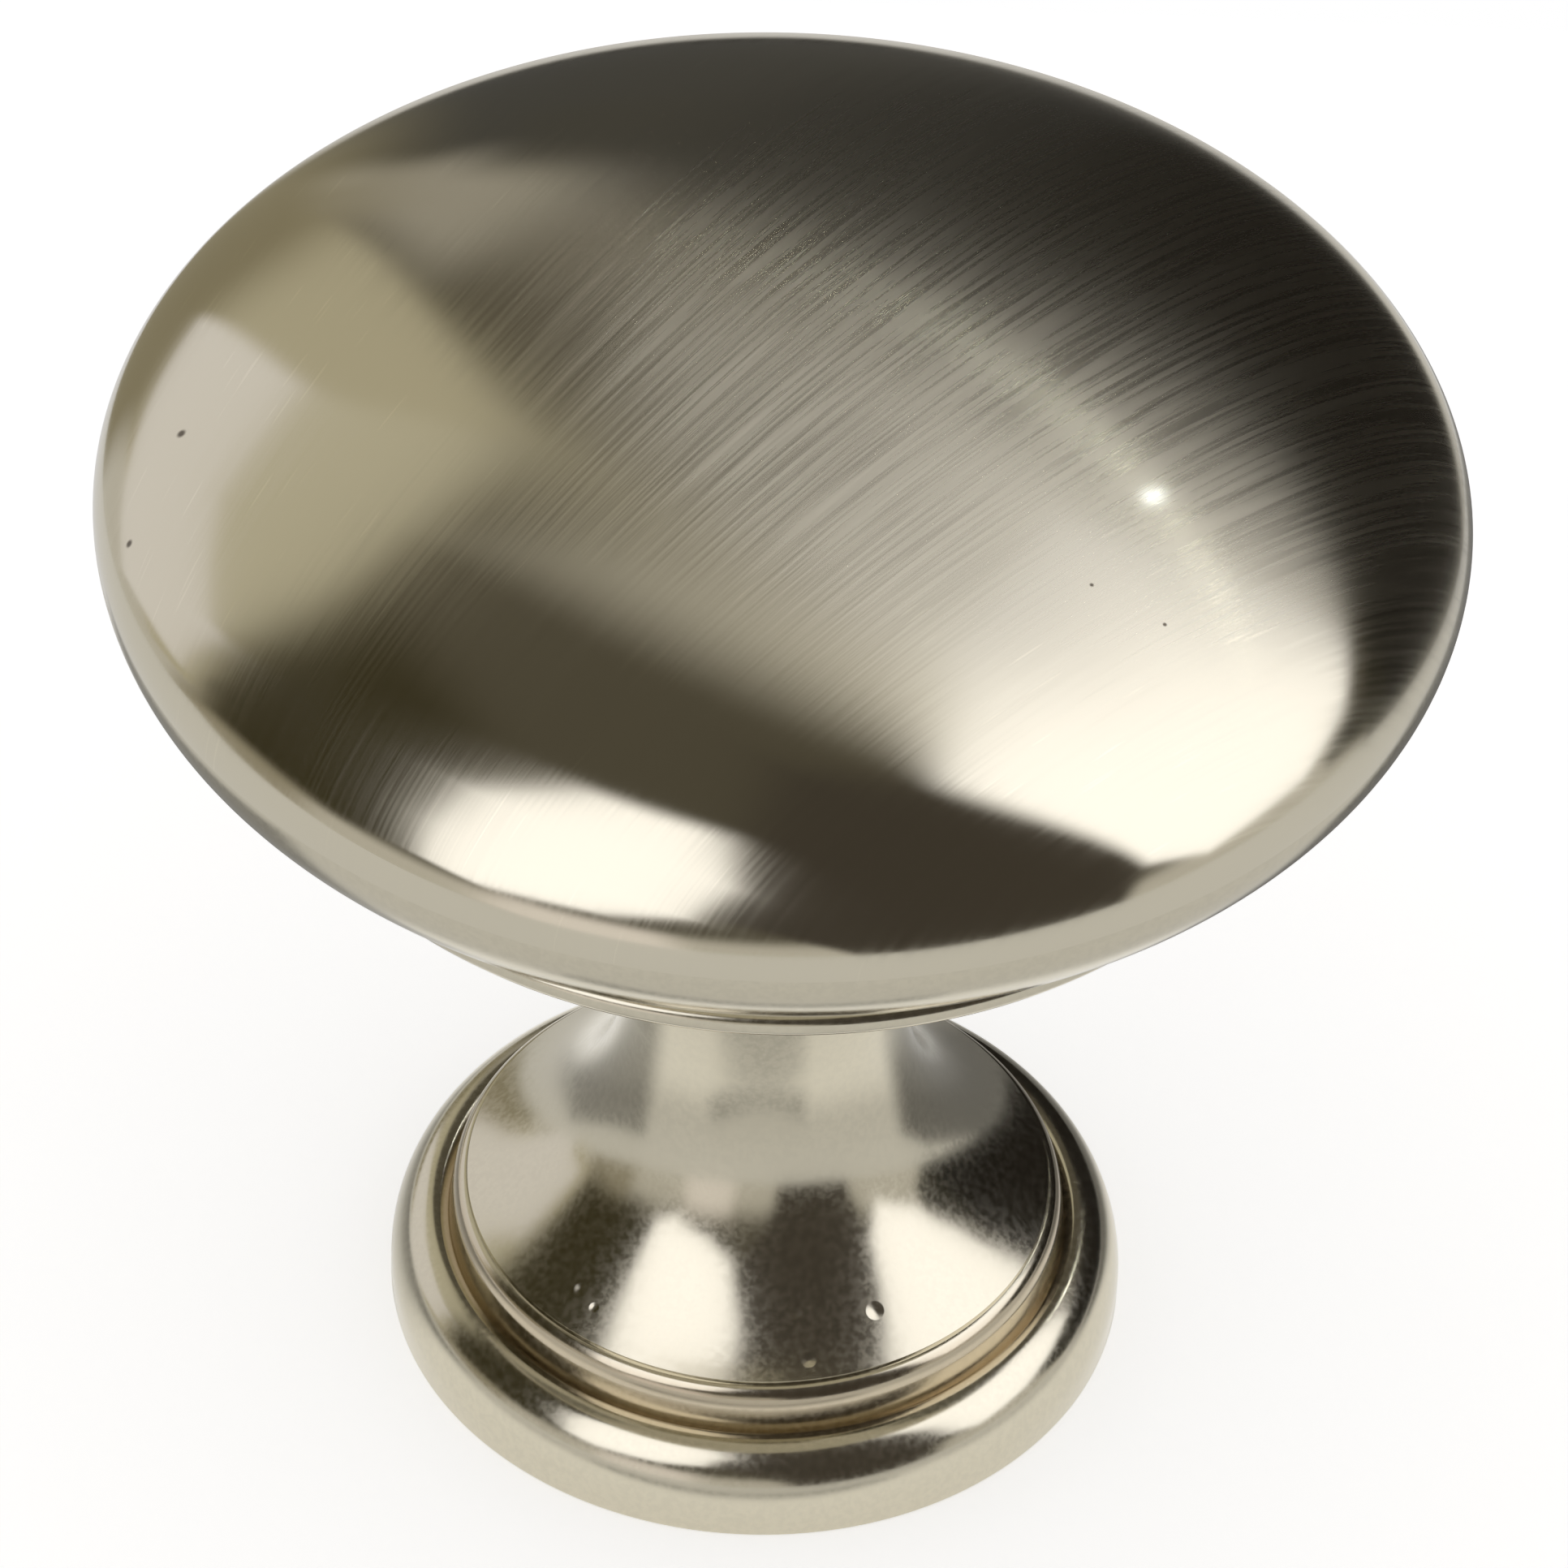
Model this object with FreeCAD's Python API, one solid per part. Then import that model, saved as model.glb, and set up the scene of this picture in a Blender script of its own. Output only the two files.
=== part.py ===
import FreeCAD, Part
import math
import os

# Cabinet knob: one casting, plated all over, with a domed round head, a waisted neck and a round foot.
# Millimetres. The origin is the centre of the face that sits on the door, and +Z points out to the head.

# Head
head_dia = 32.0          # across the widest circle
knob_height = 30.7       # from the door to the top of the dome
dome_height = 5.2        # from the widest circle up to the top
underside_curve = 5.86   # half height of the ellipse that turns in below the widest circle
collar_dia = 24.1        # the short upright collar where that ellipse ends
collar_height = 0.975    # from the ellipse down to the centre of the bead on the collar's lower edge
bead_round = 0.33        # radius of that bead
bead_reach = 0.55        # how far the bead stands out from the collar
throat_height = 6.0      # from the bead down to where the neck becomes straight
throat_rise = 0.9        # how far the underside drops from the bead before it turns down the neck

# Neck and flare
neck_dia = 6.9
flare_height = 6.4       # from the lip up to the straight part of the neck
flare_slope = 32.0       # degrees from level, at the flare's outer edge

# Foot
foot_dia = 18.0
foot_side = 0.66         # height of the foot's upright side
shoulder_width = 1.12    # from the side in to the crest of the foot's bead
shoulder_height = 1.66   # from the side up to that crest
groove_width = 0.3       # from the crest in to the foot of the step
groove_depth = 0.14      # from the crest down to the foot of the step
step_height = 1.22       # from the groove up to the top of the step
step_draft = 6.6         # degrees, how far the step's side leans in
crown_width = 0.36       # how far in the step's rounded top reaches
crown_height = 0.6       # and how far down
lip_height = 0.1         # the fine upright lip where the flare lands on the step
seat_edge_round = 0.15

# Screw hole, drilled for an M4 thread
screw_hole_dia = 3.3
screw_hole_depth = 13.0
hole_mouth_dia = 4.3
drill_point_angle = 118.0

# Sizes that follow from those above
head_radius = head_dia / 2
foot_radius = foot_dia / 2
neck_radius = neck_dia / 2
rim_z = knob_height - dome_height
head_turn = math.acos(collar_dia / head_dia)    # how far round its ellipse the underside goes
collar_radius = collar_dia / 2
collar_z = rim_z - underside_curve * math.sin(head_turn)
bead_radius = collar_radius + bead_reach - bead_round
bead_z = collar_z - collar_height
crest_radius = foot_radius - shoulder_width
crest_z = foot_side + shoulder_height
groove_radius = crest_radius - groove_width
groove_z = crest_z - groove_depth
step_z = groove_z + step_height
crown_z = step_z - crown_height
crown_radius = groove_radius - (crown_z - groove_z) * math.tan(math.radians(step_draft))
edge_radius = crown_radius - crown_width
edge_z = step_z + lip_height


def point(radius, height):
    return FreeCAD.Vector(radius, 0, height)


def line(start, end):
    return Part.LineSegment(start, end).toShape()


# An arc from start to end whose two end tangents meet at the corner
def conic(start, corner, end, weight):
    curve = Part.BezierCurve()
    curve.setPoles([start, corner, end])
    curve.setWeight(2, weight)
    return curve.toShape()


def quarter_ellipse(start, corner, end):
    return conic(start, corner, end, math.sqrt(0.5))


# The outline from the top of the dome down to the straight neck
def head_edges():
    top = point(0, knob_height)
    rim = point(head_radius, rim_z)
    underside_corner = point(head_radius, rim_z - underside_curve * math.tan(head_turn / 2))
    collar_top = point(collar_radius, collar_z)

    bead_rise = math.sqrt(bead_round ** 2 - (bead_reach - bead_round) ** 2)
    collar_foot = point(collar_radius, bead_z + bead_rise)
    bead_side = point(bead_radius + bead_round, bead_z)
    bead_bottom = point(bead_radius, bead_z - bead_round)

    throat_corner = point(neck_radius, bead_bottom.z - throat_rise)
    throat_end = point(neck_radius, bead_bottom.z - throat_height)
    return [
        quarter_ellipse(top, point(head_radius, knob_height), rim),
        conic(rim, underside_corner, collar_top, math.cos(head_turn / 2)),
        line(collar_top, collar_foot),
        Part.Arc(collar_foot, bead_side, bead_bottom).toShape(),
        conic(bead_bottom, throat_corner, throat_end, 1.0),
    ], throat_end


# The outline from the straight neck down to the rim of the seat
def foot_edges(neck_top):
    neck_foot = point(neck_radius, edge_z + flare_height)
    flare_edge = point(edge_radius, edge_z)
    flare_run = edge_radius - neck_radius
    flare_corner = point(neck_radius, edge_z + flare_run * math.tan(math.radians(flare_slope)))
    lip_foot = point(edge_radius, step_z)
    crown_side = point(crown_radius, crown_z)
    groove = point(groove_radius, groove_z)
    crest = point(crest_radius, crest_z)
    side_top = point(foot_radius, foot_side)
    side_foot = point(foot_radius, seat_edge_round)
    seat_rim = point(foot_radius - seat_edge_round, 0)
    return [
        line(neck_top, neck_foot),
        conic(neck_foot, flare_corner, flare_edge, 1.0),
        line(flare_edge, lip_foot),
        quarter_ellipse(lip_foot, point(crown_radius, step_z), crown_side),
        line(crown_side, groove),
        conic(groove, point(groove_radius + groove_width / 2, crest_z), crest, 1.0),
        quarter_ellipse(crest, point(foot_radius, crest_z), side_top),
        line(side_top, side_foot),
        quarter_ellipse(side_foot, point(foot_radius, 0), seat_rim),
    ], seat_rim


# The seat, the hole's chamfered mouth, its wall and the drill's cone, and the axis up to the dome
def hole_edges(seat_rim):
    wall_radius = screw_hole_dia / 2
    mouth_radius = hole_mouth_dia / 2
    mouth = point(mouth_radius, 0)
    wall_foot = point(wall_radius, mouth_radius - wall_radius)
    wall_top = point(wall_radius, screw_hole_depth)
    cone_height = wall_radius / math.tan(math.radians(drill_point_angle / 2))
    cone_tip = point(0, screw_hole_depth + cone_height)
    return [
        line(seat_rim, mouth),
        line(mouth, wall_foot),
        line(wall_foot, wall_top),
        line(wall_top, cone_tip),
        line(cone_tip, point(0, knob_height)),
    ]


def knob_body():
    head, neck_top = head_edges()
    foot, seat_rim = foot_edges(neck_top)
    outline = Part.Wire(head + foot + hole_edges(seat_rim))
    section = Part.Face(outline)
    return section.revolve(FreeCAD.Vector(0, 0, 0), FreeCAD.Vector(0, 0, 1), 360)


os.makedirs("parts", exist_ok=True)
body = knob_body()
body.exportStep("parts/knob_body.step")
print("knob_body", "valid", body.isValid(), "solids", len(body.Solids))
print("volume mm3", round(body.Volume, 1), "area mm2", round(body.Area, 1))
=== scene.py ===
import math

import bmesh
import bpy
from mathutils import Matrix, Vector


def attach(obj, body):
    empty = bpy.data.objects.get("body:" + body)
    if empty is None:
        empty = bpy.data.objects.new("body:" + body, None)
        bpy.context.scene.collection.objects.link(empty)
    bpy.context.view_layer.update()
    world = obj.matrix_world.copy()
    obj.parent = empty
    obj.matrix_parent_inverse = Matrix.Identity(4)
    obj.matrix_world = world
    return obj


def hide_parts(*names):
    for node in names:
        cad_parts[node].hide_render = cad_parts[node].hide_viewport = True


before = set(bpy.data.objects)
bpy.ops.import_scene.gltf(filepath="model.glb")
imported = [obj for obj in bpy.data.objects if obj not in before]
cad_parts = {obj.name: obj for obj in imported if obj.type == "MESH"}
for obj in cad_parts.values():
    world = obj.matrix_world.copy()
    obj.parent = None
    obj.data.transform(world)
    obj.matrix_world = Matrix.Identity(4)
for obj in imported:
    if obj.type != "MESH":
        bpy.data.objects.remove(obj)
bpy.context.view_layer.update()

mm = 0.001
mergeDistance = 1e-6                # metres
creaseAngle = math.radians(24)      # edges that turn more than this are drawn sharp

# Sizes in millimetres, the same as the solid's
knob = {
    "headDia": 32.0,
    "height": 30.7,           # from the door to the top of the dome
    "domeHeight": 5.2,        # from the widest circle up to the top
    "undersideCurve": 5.86,   # half height of the ellipse that turns in below that circle
    "collarDia": 24.1,
    "collarHeight": 0.975,    # down to the centre of the bead
    "beadRound": 0.33,
    "beadReach": 0.55,        # how far the bead stands out from the collar
    "throatHeight": 6.0,
    "throatRise": 0.9,
    "neckDia": 6.9,
    "flareHeight": 6.4,
    "flareSlope": 32.0,       # degrees from level, at the flare's outer edge
    "lipHeight": 0.1,         # the fine upright lip where the flare lands
    "crownWidth": 0.36,
    "crownHeight": 0.6,
    "stepHeight": 1.22,
    "stepDraft": 6.6,         # degrees that the step's side leans in
    "grooveWidth": 0.3,
    "grooveDepth": 0.14,
    "shoulderWidth": 1.12,
    "shoulderHeight": 1.66,
    "footDia": 18.0,
    "footSide": 0.66,
    "seatEdgeRound": 0.15,
    # How many short lines stand for a full turn and for each curve of the outline
    "turnSteps": 288,
    "domeSteps": 72,
    "undersideSteps": 32,
    "beadSteps": 14,
    "throatSteps": 28,
    "flareSteps": 36,
    "crownSteps": 12,
    "stepSideSteps": 3,
    "grooveSteps": 8,
    "shoulderSteps": 24,
    "seatEdgeSteps": 5,
}

hole = {
    "threadDia": 4.0,
    "drillDia": 3.3,
    "mouthDia": 4.3,
    "depth": 13.0,
    "drillPoint": 118.0,      # degrees
    "pitch": 0.7,
    "threadStart": 0.5,       # millimetres above the seat
    "turns": 16,
    "stepsPerTurn": 32,
    "rootShare": 0.42,        # half a tooth's width at its root, against the pitch
    "crestShare": 0.25,       # its width at the crest, against the root's
    "bedding": 0.02,          # how far a tooth's root stands in the wall
}

# The brush lines fan out very slightly from a far point at the lower left
brush = {
    "lineAngle": 54.0,        # degrees from +X on the plan
    "fanDistance": 60.0,      # millimetres to the point that the lines fan from
    # Changes per millimetre across the lines and along them, then the noise's detail and roughness
    "fine": (9.0, 0.15, 3.0, 0.6),
    "broad": (2.6, 0.075, 2.0, 0.5),
    "scratches": (7.2, 0.375, 1.0, 0.5),
}


def point(radius, height):
    return Vector((radius * mm, 0.0, height * mm))


def conic(start, corner, end, weight, steps):
    # Arc from start to end whose end tangents meet at the corner, without its first point
    points = []
    for i in range(1, steps + 1):
        t = i / steps
        a, b, c = (1 - t) ** 2, 2 * t * (1 - t) * weight, t * t
        points.append((start * a + corner * b + end * c) / (a + b + c))
    return points


def quarterEllipse(start, corner, end, steps):
    return conic(start, corner, end, math.sqrt(0.5), steps)


def arc(centre, radius, fromAngle, toAngle, steps):
    # Angles in degrees above level
    points = []
    for i in range(steps + 1):
        angle = math.radians(fromAngle + (toAngle - fromAngle) * i / steps)
        points.append(centre + Vector((math.cos(angle), 0.0, math.sin(angle))) * radius * mm)
    return points


def outlineParts():
    # The outline in three lengths: the dome, the rest of the outside, and the seat with the hole
    headRadius = knob["headDia"] / 2
    footRadius = knob["footDia"] / 2
    neckRadius = knob["neckDia"] / 2
    collarRadius = knob["collarDia"] / 2
    rimZ = knob["height"] - knob["domeHeight"]
    headTurn = math.acos(collarRadius / headRadius)
    collarZ = rimZ - knob["undersideCurve"] * math.sin(headTurn)
    beadZ = collarZ - knob["collarHeight"]
    beadRadius = collarRadius + knob["beadReach"] - knob["beadRound"]
    beadStart = math.degrees(math.acos((collarRadius - beadRadius) / knob["beadRound"]))
    crestRadius = footRadius - knob["shoulderWidth"]
    crestZ = knob["footSide"] + knob["shoulderHeight"]
    grooveRadius = crestRadius - knob["grooveWidth"]
    grooveZ = crestZ - knob["grooveDepth"]
    stepZ = grooveZ + knob["stepHeight"]
    crownZ = stepZ - knob["crownHeight"]
    lean = math.tan(math.radians(knob["stepDraft"]))
    crownRadius = grooveRadius - (crownZ - grooveZ) * lean
    edgeRadius = crownRadius - knob["crownWidth"]
    edgeZ = stepZ + knob["lipHeight"]
    slope = math.tan(math.radians(knob["flareSlope"]))

    top = point(0, knob["height"])
    rim = point(headRadius, rimZ)
    domeCorner = point(headRadius, knob["height"])
    dome = [top] + quarterEllipse(top, domeCorner, rim, knob["domeSteps"])

    collarTop = point(collarRadius, collarZ)
    underCorner = point(headRadius, rimZ - knob["undersideCurve"] * math.tan(headTurn / 2))
    beadCentre = point(beadRadius, beadZ)
    beadBottom = point(beadRadius, beadZ - knob["beadRound"])
    throatEnd = point(neckRadius, beadZ - knob["beadRound"] - knob["throatHeight"])
    throatCorner = point(neckRadius, beadZ - knob["beadRound"] - knob["throatRise"])
    neckFoot = point(neckRadius, edgeZ + knob["flareHeight"])
    flareEdge = point(edgeRadius, edgeZ)
    flareCorner = point(neckRadius, edgeZ + (edgeRadius - neckRadius) * slope)
    lipFoot = point(edgeRadius, stepZ)
    crownCorner = point(crownRadius, stepZ)
    crownSide = point(crownRadius, crownZ)
    groove = point(grooveRadius, grooveZ)
    grooveCorner = point(grooveRadius + knob["grooveWidth"] / 2, crestZ)
    crest = point(crestRadius, crestZ)
    shoulderCorner = point(footRadius, crestZ)
    sideTop = point(footRadius, knob["footSide"])
    sideFoot = point(footRadius, knob["seatEdgeRound"])
    seatCorner = point(footRadius, 0)
    seatRim = point(footRadius - knob["seatEdgeRound"], 0)

    outside = [rim]
    outside += conic(rim, underCorner, collarTop, math.cos(headTurn / 2), knob["undersideSteps"])
    outside += arc(beadCentre, knob["beadRound"], beadStart, -90, knob["beadSteps"])
    outside += conic(beadBottom, throatCorner, throatEnd, 1.0, knob["throatSteps"])
    outside += [throatEnd.lerp(neckFoot, 0.5), neckFoot]
    outside += conic(neckFoot, flareCorner, flareEdge, 1.0, knob["flareSteps"])
    outside += [lipFoot]
    outside += quarterEllipse(lipFoot, crownCorner, crownSide, knob["crownSteps"])
    sideSteps = knob["stepSideSteps"]
    outside += [crownSide.lerp(groove, i / sideSteps) for i in range(1, sideSteps + 1)]
    outside += conic(groove, grooveCorner, crest, 1.0, knob["grooveSteps"])
    outside += quarterEllipse(crest, shoulderCorner, sideTop, knob["shoulderSteps"])
    outside += [sideFoot]
    outside += quarterEllipse(sideFoot, seatCorner, seatRim, knob["seatEdgeSteps"])

    wall = hole["threadDia"] / 2
    mouth = hole["mouthDia"] / 2
    coneHeight = wall / math.tan(math.radians(hole["drillPoint"] / 2))
    seat = [seatRim, point(mouth, 0), point(wall, mouth - wall), point(wall, hole["depth"])]
    seat += [point(0, hole["depth"] + coneHeight)]
    return dome, outside, seat


def addTurned(whole, points, material):
    # One eighth is spun and then doubled three times, which is far quicker than one long spin
    doublings = 3
    share = 2 ** doublings
    bm = bmesh.new()
    verts = [bm.verts.new(p) for p in points]
    edges = [bm.edges.new(pair) for pair in zip(verts, verts[1:])]
    bmesh.ops.spin(bm, geom=verts + edges, cent=(0, 0, 0), axis=(0, 0, 1),
                   angle=math.tau / share, steps=knob["turnSteps"] // share)
    for i in range(doublings):
        turn = Matrix.Rotation(math.tau / share * 2 ** i, 3, "Z")
        twin = bmesh.ops.duplicate(bm, geom=bm.verts[:] + bm.edges[:] + bm.faces[:])["geom"]
        moved = [item for item in twin if isinstance(item, bmesh.types.BMVert)]
        bmesh.ops.rotate(bm, verts=moved, cent=(0, 0, 0), matrix=turn)
    for face in bm.faces:
        face.material_index = material
        face.smooth = True
    turned = bpy.data.meshes.new("turned")
    bm.to_mesh(turned)
    bm.free()
    whole.from_mesh(turned)
    bpy.data.meshes.remove(turned)


def finishMesh(bm, name):
    bmesh.ops.remove_doubles(bm, verts=bm.verts, dist=mergeDistance)
    bmesh.ops.recalc_face_normals(bm, faces=bm.faces)
    for edge in bm.edges:
        if len(edge.link_faces) == 2:
            edge.smooth = edge.calc_face_angle() < creaseAngle
    mesh = bpy.data.meshes.new(name)
    bm.to_mesh(mesh)
    bm.free()
    piece = bpy.data.objects.new(name, mesh)
    bpy.context.collection.objects.link(piece)
    return piece


def mapBrushLines(piece):
    # U runs across the brush lines and V along them, both in millimetres
    angle = math.radians(brush["lineAngle"])
    far = brush["fanDistance"]
    fan = Vector((math.cos(angle), math.sin(angle))) * -far
    places = [vertex.co.xy / mm - fan for vertex in piece.data.vertices]
    spots = [((math.atan2(p.y, p.x) - angle) * far, p.length - far) for p in places]
    layer = piece.data.uv_layers.new(name="brushLines")
    values = [value for loop in piece.data.loops for value in spots[loop.vertex_index]]
    layer.data.foreach_set("uv", values)


def makeKnob():
    bm = bmesh.new()
    for material, points in enumerate(outlineParts()):
        addTurned(bm, points, material)
    piece = finishMesh(bm, "turned_knob")
    mapBrushLines(piece)
    return piece


def makeThread():
    # A tooth's section, turned up the hole as a screw thread
    outer = hole["threadDia"] / 2 + hole["bedding"]
    inner = hole["drillDia"] / 2
    base = hole["threadStart"]
    root = hole["pitch"] * hole["rootShare"]
    crest = root * hole["crestShare"]
    rise = hole["pitch"] / hole["stepsPerTurn"] * mm
    bm = bmesh.new()
    tooth = [point(outer, base - root), point(inner, base - crest),
             point(inner, base + crest), point(outer, base + root)]
    verts = [bm.verts.new(p) for p in tooth]
    edges = [bm.edges.new(pair) for pair in zip(verts, verts[1:] + verts[:1])]
    bmesh.ops.spin(bm, geom=verts + edges, cent=(0, 0, 0), axis=(0, 0, 1), dvec=(0, 0, rise),
                   angle=math.tau * hole["turns"], steps=hole["stepsPerTurn"] * hole["turns"])
    bmesh.ops.holes_fill(bm, edges=[e for e in bm.edges if e.is_boundary], sides=len(tooth))
    return finishMesh(bm, "hole_thread")


class NodeBoard:
    # Short calls for building a shader tree
    def __init__(self, tree):
        self.tree = tree
        tree.nodes.clear()

    def add(self, kind, **values):
        node = self.tree.nodes.new(kind)
        for key, value in values.items():
            setattr(node, key, value)
        return node

    def link(self, out, socket):
        self.tree.links.new(out, socket)

    def feed(self, socket, value):
        if isinstance(value, bpy.types.NodeSocket):
            self.link(value, socket)
        else:
            socket.default_value = value

    def calc(self, operation, a, b=0.0):
        node = self.add("ShaderNodeMath", operation=operation)
        self.feed(node.inputs[0], a)
        self.feed(node.inputs[1], b)
        return node.outputs[0]

    def plus(self, a, b):
        return self.calc("ADD", a, b)

    def times(self, a, b):
        return self.calc("MULTIPLY", a, b)

    def vector(self, operation, *values):
        node = self.add("ShaderNodeVectorMath", operation=operation)
        for socket, value in zip(node.inputs, values):
            self.feed(socket, value)
        return node.outputs

    def split(self, vector):
        node = self.add("ShaderNodeSeparateXYZ")
        self.link(vector, node.inputs[0])
        return node.outputs

    def fromAxis(self, x, y):
        return self.calc("SQRT", self.plus(self.times(x, x), self.times(y, y)))

    def ramp(self, value, fromLow, fromHigh, toLow=0.0, toHigh=1.0, smooth=True):
        kind = "SMOOTHSTEP" if smooth else "LINEAR"
        node = self.add("ShaderNodeMapRange", interpolation_type=kind)
        for socket, item in zip(node.inputs, (value, fromLow, fromHigh, toLow, toHigh)):
            self.feed(socket, item)
        return node.outputs[0]

    def mix(self, factor, a, b):
        node = self.add("ShaderNodeMix", data_type="RGBA")
        self.feed(node.inputs[0], factor)
        self.feed(node.inputs[6], a)      # 6, 7 and output 2 are the colour sockets
        self.feed(node.inputs[7], b)
        return node.outputs[2]

    def noise(self, vector, scale, detail, roughness):
        node = self.add("ShaderNodeTexNoise")
        self.link(vector, node.inputs["Vector"])
        node.inputs["Scale"].default_value = scale
        node.inputs["Detail"].default_value = detail
        node.inputs["Roughness"].default_value = roughness
        return node.outputs["Fac"]

    def linePattern(self, lines, pattern):
        across, along, detail, roughness = pattern
        node = self.add("ShaderNodeMapping")
        self.link(lines, node.inputs["Vector"])
        node.inputs["Scale"].default_value = (across, along, 1)
        return self.noise(node.outputs["Vector"], 1.0, detail, roughness)


def newMaterial(name):
    material = bpy.data.materials.new(name)
    material.use_nodes = True
    board = NodeBoard(material.node_tree)
    return material, board, board.add("ShaderNodeOutputMaterial").inputs["Surface"]


def newMetal(name):
    material, board, surface = newMaterial(name)
    shader = board.add("ShaderNodeBsdfPrincipled")
    shader.inputs["Metallic"].default_value = 1.0
    board.link(shader.outputs[0], surface)
    return material, board, shader


def addBump(board, shader, height, strength, distance):
    bump = board.add("ShaderNodeBump")
    bump.inputs["Strength"].default_value = strength
    bump.inputs["Distance"].default_value = distance * mm
    board.link(height, bump.inputs["Height"])
    board.link(bump.outputs[0], shader.inputs["Normal"])


nickelColor = (0.65, 0.605, 0.48, 1.0)
markCore = 0.3      # share of a mark's radius within which it is at full strength


def shaded(color, factor):
    return tuple(c * factor for c in color[:3]) + (1.0,)


def markArea(board, place, spot, radius):
    # 1 inside a small round mark, 0 outside it; the spot is in millimetres
    away = board.vector("DISTANCE", place, Vector(spot) * mm)["Value"]
    return board.ramp(away, radius * mm, radius * markCore * mm)


def band(board, value, limits):
    # 0 up to the first limit, 1 between the middle two, 0 from the last, in millimetres
    start, full, ebb, end = [limit * mm for limit in limits]
    return board.times(board.ramp(value, start, full), board.ramp(value, end, ebb))


brushedLook = {
    "smooth": 0.10,           # roughness where the belt hardly touches
    "brushed": 0.28,          # roughness where it has cut
    "unevenness": 0.19,       # how much the roughness changes from line to line
    "fineRange": (0.3, 0.7),  # the part of the fine pattern that changes it
    "middle": (6.0, 1.0),     # where the belt bites most, millimetres
    "fullWithin": 8.0,
    "goneBeyond": 15.0,
    "faintest": 0.1,          # what is left of the lines out there
    "bump": 0.10,
    "bumpDepth": 0.01,        # millimetres
    "broadShare": 0.5,        # height of the broad lines against the fine ones
    "grainScale": 4500.0,     # per metre
    "grainShare": 0.012,
    "lineShade": 0.92,        # colour of the darkest lines against the rest
    "lineRange": (0.62, 0.3),
    "scratchShade": 1.06,     # and of the few bright scratches
    "scratchRange": (0.67, 0.76),
    "coat": 0.6,
    "coatRoughness": 0.07,
    "speckColor": (0.10, 0.08, 0.05, 1.0),
    # The specks' places on the plan and their radii, in millimetres
    "specks": [(-13.87, -1.33, 0.16), (-14.9, -3.9, 0.14), (7.0, -7.0, 0.07), (8.67, -7.68, 0.07)],
}


def domeZ(x, y):
    rise = math.sqrt(1 - (x * x + y * y) / (knob["headDia"] / 2) ** 2)
    return knob["height"] - knob["domeHeight"] * (1 - rise)


def brushedNickel():
    look = brushedLook
    material, board, shader = newMetal("brushedNickel")
    shader.inputs["Anisotropic"].default_value = 1.0
    shader.inputs["Coat Weight"].default_value = look["coat"]
    shader.inputs["Coat Roughness"].default_value = look["coatRoughness"]
    tangent = board.add("ShaderNodeTangent", direction_type="UV_MAP", uv_map="brushLines")
    board.link(tangent.outputs[0], shader.inputs["Tangent"])
    lines = board.add("ShaderNodeUVMap", uv_map="brushLines").outputs[0]
    fine = board.linePattern(lines, brush["fine"])
    broad = board.linePattern(lines, brush["broad"])
    scratches = board.linePattern(lines, brush["scratches"])
    place = board.add("ShaderNodeTexCoord").outputs["Object"]
    grain = board.noise(place, look["grainScale"], 2.0, 0.6)

    middle = Vector((*look["middle"], knob["height"])) * mm
    away = board.vector("DISTANCE", place, middle)["Value"]
    bite = board.ramp(away, look["fullWithin"] * mm, look["goneBeyond"] * mm, 1.0, 0.0)
    roughness = board.ramp(bite, 0.0, 1.0, look["smooth"], look["brushed"], False)
    change = look["unevenness"]
    uneven = board.ramp(fine, *look["fineRange"], 1 - change, 1 + change, False)
    board.link(board.times(uneven, roughness), shader.inputs["Roughness"])

    ridges = board.plus(fine, board.times(broad, look["broadShare"]))
    depth = board.ramp(bite, 0.0, 1.0, look["faintest"], 1.0)
    height = board.plus(board.times(ridges, depth), board.times(grain, look["grainShare"]))
    addBump(board, shader, height, look["bump"], look["bumpDepth"])

    darker = shaded(nickelColor, look["lineShade"])
    lighter = shaded(nickelColor, look["scratchShade"])
    toned = board.mix(board.times(board.ramp(fine, *look["lineRange"]), depth), nickelColor, darker)
    toned = board.mix(board.ramp(scratches, *look["scratchRange"]), toned, lighter)
    for x, y, radius in look["specks"]:
        speck = markArea(board, place, (x, y, domeZ(x, y)), radius)
        toned = board.mix(speck, toned, look["speckColor"])
    board.link(toned, shader.inputs["Base Color"])
    return material


smoothLook = {
    "roughness": 0.175,
    "unevenness": 0.15,       # how much the grain changes it
    "bump": 0.10,
    "bumpDepth": 0.05,        # millimetres
    "waveScale": 650.0,       # the soft waves left by the polishing, per metre
    "grainScale": 5200.0,     # and the satin's grain
    "grainShare": 0.028,      # height of the grain against the waves
    "grainRange": (0.35, 0.65),
    "grainShade": 0.95,       # colour of the darkest grain against the rest
    # Painted shade: the colour is made browner and darker in the groove round the foot, between
    # these radii and heights
    "grooveShadeColor": (0.56, 0.49, 0.365, 1.0),
    "grooveShadeRadii": (7.2, 7.4, 7.6, 7.85),
    "grooveShadeHeights": (1.2, 1.6, 3.6, 4.0),
    "pitDepth": 8.0,          # against the waves
    # The pits' places and radii, in millimetres
    "pits": [
        (1.0, -5.65, 4.44, 0.24), (1.39, -6.55, 3.69, 0.22), (2.93, -5.28, 4.18, 0.26),
        (-4.16, -4.78, 3.98, 0.2), (-3.85, -5.3, 3.95, 0.14), (0.75, -5.2, 4.85, 0.14),
        (1.35, -5.5, 4.5, 0.14),
    ],
}


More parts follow.
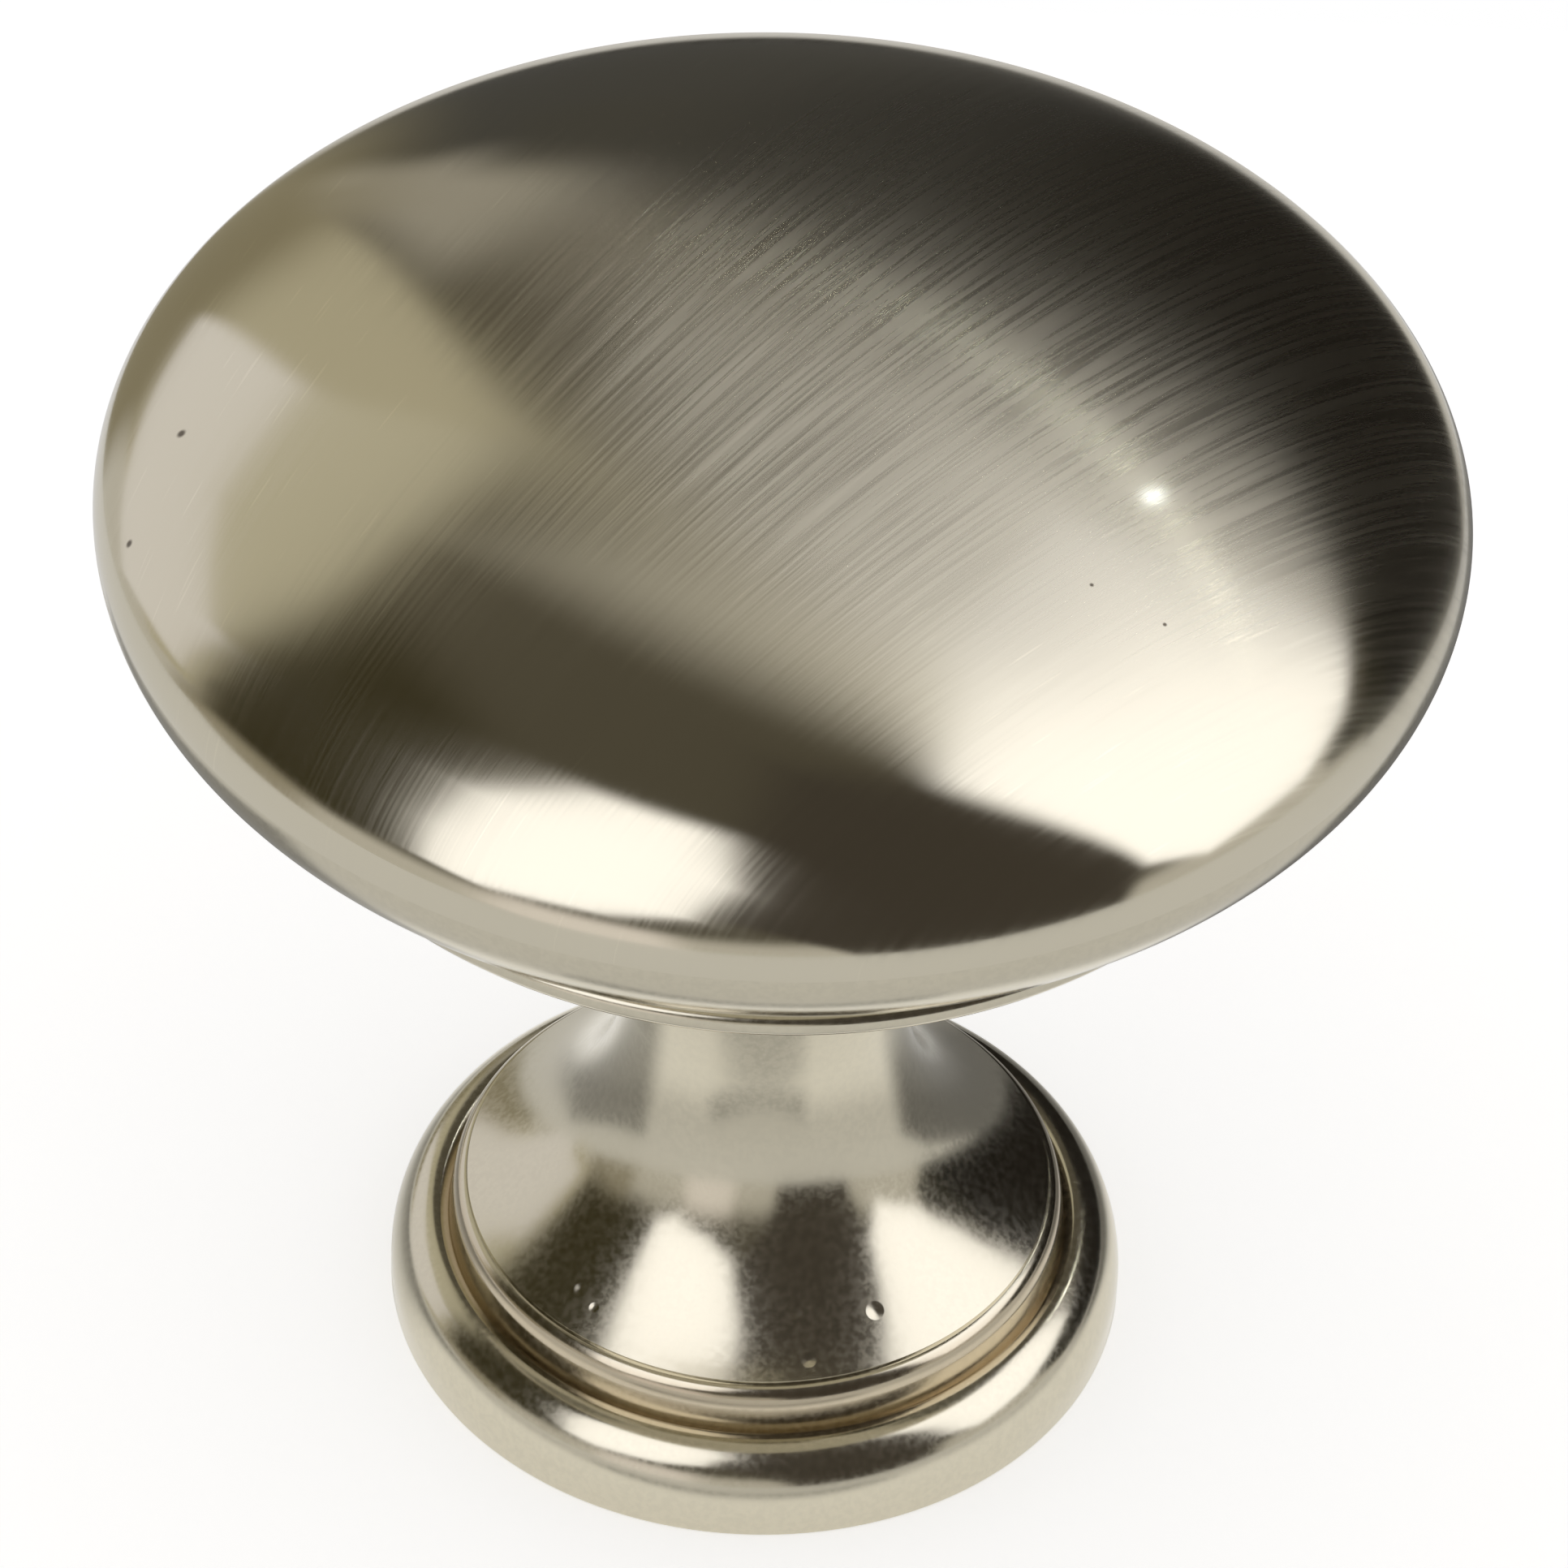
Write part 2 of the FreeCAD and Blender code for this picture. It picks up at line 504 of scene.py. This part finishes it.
def smoothNickel():
    look = smoothLook
    material, board, shader = newMetal("smoothNickel")
    place = board.add("ShaderNodeTexCoord").outputs["Object"]
    wave = board.noise(place, look["waveScale"], 2.0, 0.5)
    grain = board.noise(place, look["grainScale"], 2.0, 0.65)
    height = board.plus(wave, board.times(grain, look["grainShare"]))
    for x, y, z, radius in look["pits"]:
        pit = markArea(board, place, (x, y, z), radius)
        height = board.calc("SUBTRACT", height, board.times(pit, look["pitDepth"]))
    addBump(board, shader, height, look["bump"], look["bumpDepth"])

    low = look["roughness"] * (1 - look["unevenness"])
    high = look["roughness"] * (1 + look["unevenness"])
    roughness = board.ramp(grain, *look["grainRange"], low, high)
    board.link(roughness, shader.inputs["Roughness"])

    darker = shaded(nickelColor, look["grainShade"])
    toned = board.mix(board.ramp(grain, *look["grainRange"]), darker, nickelColor)
    x, y, z = board.split(place)
    # Painted shade in the groove round the foot: the colour there is darkened to a browner tone
    around = band(board, board.fromAxis(x, y), look["grooveShadeRadii"])
    grooveShade = board.times(around, band(board, z, look["grooveShadeHeights"]))
    board.link(board.mix(grooveShade, toned, look["grooveShadeColor"]), shader.inputs["Base Color"])
    return material


# The room as the knob sees it. A place in it is (right, far) in degrees from straight overhead.
room = {
    "overhead": (0.10, 0.09, 0.068, 1),
    "low": (0.62, 0.60, 0.56, 1),
    "lowFrom": 70.0,
    "lowTo": 84.0,
    "soft": (0.66, 0.66, 0.67, 1),    # the even light that reaches the floor
}
boxLight = (1.65, 1.65, 1.75)
# Each has a soft edge in degrees, a colour and its corners. Later ones cover earlier ones.
panels = {
    "lowLeft": (6.0, (0.36, 0.33, 0.26), [(-95, 20), (-66, 8), (-66, -20), (-95, -30)]),
    "lowFront": (
        6.0, (0.95, 0.90, 0.90),
        [(-20, -74), (-50, -60), (-62, -66), (-45, -95), (-20, -95)]),
    "darkBack": (
        3.0, (0.014, 0.012, 0.010),
        [(-2, 56), (52, 28), (92, 14), (100, 36), (84, 74), (46, 99), (0, 109), (-36, 105),
         (-14, 62)]),
    "darkRight": (2.0, (0.03, 0.027, 0.018), [(64, 26), (78, 2), (84, 2), (92, 22)]),
    "smokyBack": (
        4.0, (0.075, 0.073, 0.068),
        [(-14, 60), (6, 56), (22, 105), (-36, 105), (-22, 78)]),
    "greyPaper": (
        3.0, (0.40, 0.38, 0.34),
        [(-18.2, 57), (-9, 61), (-7, 66), (-13, 73), (-28, 79)]),
    "darkSpot": (
        2.5, (0.075, 0.072, 0.064),
        [(-16, 71), (-12, 68), (-3, 69), (-2, 78), (-13, 80)]),
    "ceiling": (
        6.0, (0.52, 0.50, 0.45),
        [(-13, 29), (-5, 21), (9, 8), (16, 6), (16, 26), (-9, 30)]),
    "khakiWall": (
        1.0, (0.54, 0.505, 0.39),
        [(-12, 40), (-32, 84), (-56, 74), (-88, 30), (-84, 13), (-54, 9), (-41, 15)]),
    "khakiShade": (
        8.0, (0.28, 0.25, 0.17),
        [(-24, 71), (-30, 68), (-60, 65), (-72, 84), (-60, 120), (-24, 125)]),
    "paleWall": (
        1.2, (0.86, 0.84, 0.86),
        [(-42, 70.6), (-28.6, 49), (-57, 18), (-82, 17), (-84, 50)]),
    "khakiFold": (
        1.0, (0.60, 0.57, 0.46),
        [(-29, 48), (-42, 39.5), (-57, 21), (-41, 17), (-13, 40)]),
    "darkLeft": (
        5.0, (0.045, 0.038, 0.018),
        [(-24, 2), (-25, 25), (-84, 7), (-72, -30), (-53, -42)]),
    "darkGap": (
        3.0, (0.065, 0.056, 0.046),
        [(0, 3), (10, 1), (60, -37), (74, -56), (56, -84), (20, -88), (-8, -56)]),
    "rightBox": (
        2.2, boxLight,
        [(13, -0.5), (58, -33.8), (76, -31), (78, -4), (67, 14), (53, 26), (14.5, 35.3),
         (10.5, 21)]),
    "leftBox": (
        2.5, boxLight,
        [(-4, -14), (-16, -5), (-30, -9), (-43, -23), (-58, -42), (-52, -54), (-28, -61),
         (-12, -57), (-4, -36)]),
    "lamp": (0.5, (40, 42, 40), [(19.6, 38.8), (20.1, 37.7), (21.2, 38.0), (20.9, 39.1)]),
}


def softArea(board, place, corners, soft):
    # 1 inside a convex shape, 0 outside it; place is (x, y, 1)
    sides = list(zip(corners, corners[1:] + corners[:1]))
    winding = 1 if sum(a[0] * b[1] - a[1] * b[0] for a, b in sides) > 0 else -1
    depth = None
    for start, end in sides:
        a, b = Vector(start), Vector(end)
        inward = Vector((a.y - b.y, b.x - a.x)).normalized() * winding
        plane = (inward.x, inward.y, -inward.dot(a))
        side = board.vector("DOT_PRODUCT", place, plane)["Value"]
        depth = side if depth is None else board.calc("MINIMUM", depth, side)
    return board.ramp(depth, -soft, soft)


def roomBackground():
    world = bpy.data.worlds.new("room")
    bpy.context.scene.world = world
    world.use_nodes = True
    board = NodeBoard(world.node_tree)
    x, y, z = board.split(board.add("ShaderNodeTexCoord").outputs["Generated"])
    fromTop = board.times(board.calc("ARCCOSINE", z), 180 / math.pi)
    # The tiny number only keeps the point overhead from being divided by zero
    stretch = board.calc("DIVIDE", fromTop, board.calc("MAXIMUM", board.fromAxis(x, y), 1e-4))
    place = board.add("ShaderNodeCombineXYZ")
    board.link(board.times(x, stretch), place.inputs[0])
    board.link(board.times(y, stretch), place.inputs[1])
    place.inputs[2].default_value = 1
    low = board.ramp(fromTop, room["lowFrom"], room["lowTo"])
    color = board.mix(low, room["overhead"], room["low"])
    for soft, tint, corners in panels.values():
        color = board.mix(softArea(board, place.outputs[0], corners, soft), color, tint + (1.0,))

    # Only reflections see the panels. The camera sees white, and other light is even.
    rays = board.add("ShaderNodeLightPath").outputs
    reflected = board.add("ShaderNodeBackground")
    board.link(color, reflected.inputs[0])
    plain = board.add("ShaderNodeBackground")
    board.link(board.mix(rays["Is Camera Ray"], room["soft"], (1, 1, 1, 1)), plain.inputs[0])
    either = board.add("ShaderNodeMixShader")
    board.link(rays["Is Glossy Ray"], either.inputs[0])
    board.link(plain.outputs[0], either.inputs[1])
    board.link(reflected.outputs[0], either.inputs[2])
    output = board.add("ShaderNodeOutputWorld")
    board.link(either.outputs[0], output.inputs["Surface"])
    world.cycles.sampling_method = "NONE"


floorLook = {
    "size": 0.6,              # metres from the middle to a side
    "backEdge": 0.05,         # metres behind the knob's axis
    "color": (0.86, 0.85, 0.83, 1),
    "shadeColor": (0.01, 0.01, 0.008, 1),
    "lift": 0.50,             # how much the floor is brightened towards white
    "farLift": 0.17,          # the same in reflections, away from the foot
    "near": 13.0,             # millimetres from the axis where the one starts to give way
    "far": 20.0,              # and where the other is reached
}
# What darkens the floor in the knob's reflections: a soft edge, a strength and corners, millimetres
floorShades = {
    "right": (3.0, 0.74, [(12.5, 3.5), (30, 2), (44, 14), (44, 44), (14, 44), (4, 14), (6, 9)]),
    "left": (3.0, 0.58, [(-11, -1), (-34, -10), (-34, 20), (-9, 14), (-9.5, 7)]),
    "front": (1.5, 0.42, [(-10, -13.2), (8, -12.7), (9, -17), (-10, -18)]),
}


def paleFloor():
    look = floorLook
    material, board, surface = newMaterial("paleFloor")
    rays = board.add("ShaderNodeLightPath").outputs
    place = board.add("ShaderNodeTexCoord").outputs["Object"]
    spot = board.vector("MULTIPLY_ADD", place, (1 / mm, 1 / mm, 0), (0, 0, 1))["Vector"]
    dark = 0.0
    for soft, strength, corners in floorShades.values():
        area = softArea(board, spot, corners, soft)
        dark = board.calc("MAXIMUM", board.times(area, strength), dark)
    dark = board.times(dark, rays["Is Glossy Ray"])
    away = board.vector("LENGTH", place)["Value"]
    glow = board.ramp(away, look["near"] * mm, look["far"] * mm, look["lift"], look["farLift"])
    glow = board.times(board.times(glow, rays["Is Glossy Ray"]), board.calc("SUBTRACT", 1, dark))
    seen = board.times(rays["Is Camera Ray"], look["lift"])

    diffuse = board.add("ShaderNodeBsdfDiffuse")
    board.link(board.mix(dark, look["color"], look["shadeColor"]), diffuse.inputs["Color"])
    lift = board.add("ShaderNodeEmission")
    board.link(board.plus(glow, seen), lift.inputs["Strength"])
    both = board.add("ShaderNodeAddShader")
    board.link(diffuse.outputs[0], both.inputs[0])
    board.link(lift.outputs[0], both.inputs[1])
    board.link(both.outputs[0], surface)
    return material


def makeFloor():
    back = floorLook["backEdge"] - floorLook["size"]
    bm = bmesh.new()
    bmesh.ops.create_grid(bm, x_segments=1, y_segments=1, size=floorLook["size"])
    bmesh.ops.translate(bm, verts=bm.verts, vec=(0, back, 0))
    floor = finishMesh(bm, "floor")
    floor.data.materials.append(paleFloor())


# The photograph's view, fitted to the outline of the head and the foot
view = {
    "elevation": 43.05,       # degrees
    "roll": 2.24,
    "lens": 249.37,
    "sensor": 36.0,
    "distance": 251.97,       # millimetres to the aim point
    "aimHeight": 25.50,       # on the knob's axis, millimetres
    "aimPixel": (965.5, 618.7),
    "frame": 1932,            # pixels
    "clipStart": 0.02,        # metres
}


def makeCamera():
    camera = bpy.data.objects.new("camera", bpy.data.cameras.new("camera"))
    bpy.context.collection.objects.link(camera)
    camera.data.lens = view["lens"]
    camera.data.sensor_width = view["sensor"]
    camera.data.clip_start = view["clipStart"]
    tilt, roll = math.radians(view["elevation"]), math.radians(view["roll"])
    ahead = Vector((0, math.cos(tilt), -math.sin(tilt)))
    right = Vector((1, 0, 0))
    down = ahead.cross(right)
    imageRight = right * math.cos(roll) - down * math.sin(roll)
    imageDown = right * math.sin(roll) + down * math.cos(roll)
    pixel = view["sensor"] / view["frame"] / view["lens"]
    offRight, offDown = [(place - view["frame"] / 2) * pixel for place in view["aimPixel"]]
    sight = imageRight * offRight + imageDown * offDown + ahead
    aim = Vector((0, 0, view["aimHeight"] * mm))
    turn = Matrix((imageRight, -imageDown, -ahead)).transposed().to_4x4()
    camera.matrix_world = Matrix.Translation(aim - sight * view["distance"] * mm) @ turn
    bpy.context.scene.camera = camera


print("camera, room and floor")
makeCamera()
roomBackground()
makeFloor()

print("knob")
knobPiece = makeKnob()
brushed, smooth = brushedNickel(), smoothNickel()
for material in (brushed, smooth, smooth):      # the dome, the rest of the outside, the seat
    knobPiece.data.materials.append(material)
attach(knobPiece, "root")
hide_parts("knob_body")

print("thread")
thread = makeThread()
thread.data.materials.append(smooth)
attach(thread, "root")

bpy.context.scene.view_settings.view_transform = "Standard"
